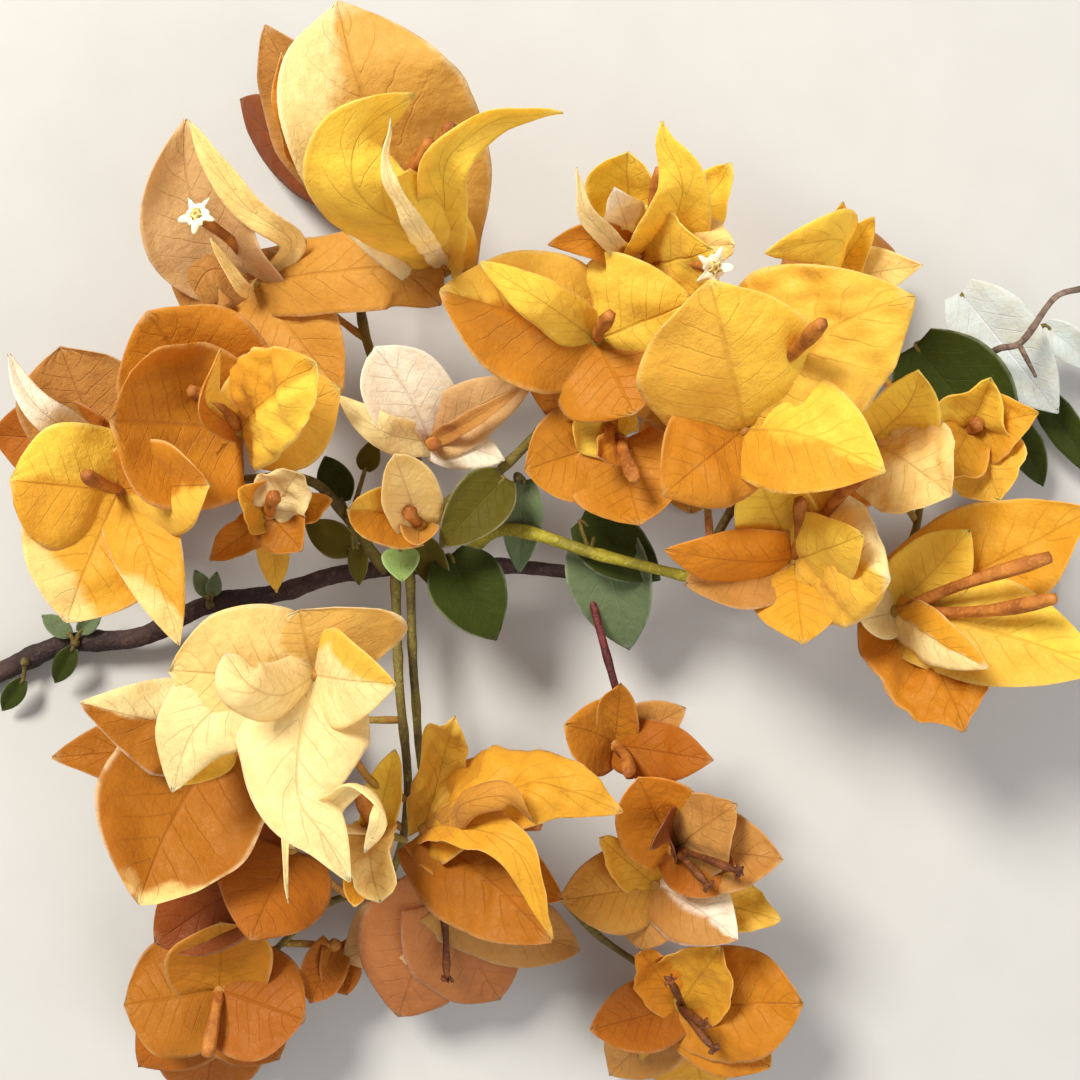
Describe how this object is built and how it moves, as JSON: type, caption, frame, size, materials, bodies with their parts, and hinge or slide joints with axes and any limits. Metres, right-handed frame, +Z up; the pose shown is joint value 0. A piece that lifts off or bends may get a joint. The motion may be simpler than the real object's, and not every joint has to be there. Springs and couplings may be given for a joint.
{
  "type": "cut flowering bougainvillea branch",
  "caption": "Cut branch of yellow-orange bougainvillea in full bloom, lying down: woody stem with a flat cut end, green shoots, papery three-bract blooms and leaves.",
  "frame": {"origin": "on the surface that the branch lies on, under the middle of its box", "axes": "+Z up out of that surface; +X along the woody stem, from its cut end to the leafy end; +Y to the highest bloom"},
  "size_m": [0.2607, 0.239, 0.0857],
  "materials": {
    "bract_gold": "thin papery golden yellow bract, slightly translucent, veined",
    "bract_amber": "thin papery amber orange bract, slightly translucent, veined",
    "bract_peach": "thin papery pale peach bract, slightly translucent, veined",
    "bract_cream": "thin papery cream bract, slightly translucent, veined",
    "leaf": "smooth satin green leaf with a pale midrib",
    "bark": "dark brown rough bark",
    "green_stem": "smooth yellow-green young stem",
    "red_stem": "smooth dark red young stem"
  },
  "bodies": {
    "root": {"main_stem": "bark", "shoot_up": "green_stem", "shoot_right": "green_stem", "shoot_upper_left": "green_stem", "shoot_left": "green_stem", "shoot_hanging": "green_stem", "shoot_low": "green_stem", "shoot_red": "red_stem", "shoot_far_right": "green_stem", "shoot_inner": "green_stem", "dead_twig": "bark", "bloom_top": "bract_gold", "bloom_top_back": "bract_amber", "bloom_peach": "bract_peach", "bloom_left": "bract_amber", "bloom_left_small": "bract_gold", "bloom_far_left": "bract_gold", "bloom_far_left_high": "bract_cream", "bloom_cream": "bract_cream", "bloom_young": "bract_amber", "bloom_middle": "bract_gold", "bloom_middle_high": "bract_gold", "bloom_middle_low": "bract_amber", "bloom_right": "bract_gold", "bloom_right_side": "bract_peach", "bloom_right_back": "bract_amber", "bloom_right_low": "bract_gold", "bloom_star": "bract_amber", "bloom_far_right": "bract_gold", "bloom_front": "bract_cream", "bloom_front_left": "bract_amber", "bloom_front_low": "bract_amber", "bloom_curls": "bract_gold", "bloom_low_middle": "bract_gold", "bloom_tan": "bract_peach", "bloom_low_right_a": "bract_amber", "bloom_low_right_b": "bract_amber", "bloom_low_right_c": "bract_peach", "bloom_bottom_left": "bract_amber", "bloom_bud": "bract_amber", "bloom_bottom_right": "bract_amber", "bloom_under_right": "bract_amber", "bloom_under_left": "bract_amber", "bloom_under_far_right": "bract_amber", "bloom_under_front": "bract_amber", "leaves_centre": "leaf", "leaves_upper": "leaf", "leaves_behind": "leaf", "leaves_left": "leaf", "leaves_right": "leaf", "leaves_far_right": "leaf", "leaves_far_right_low": "leaf", "leaves_foot": "leaf", "leaves_cut": "leaf", "leaves_sprout": "leaf"}
  },
  "joints": []
}
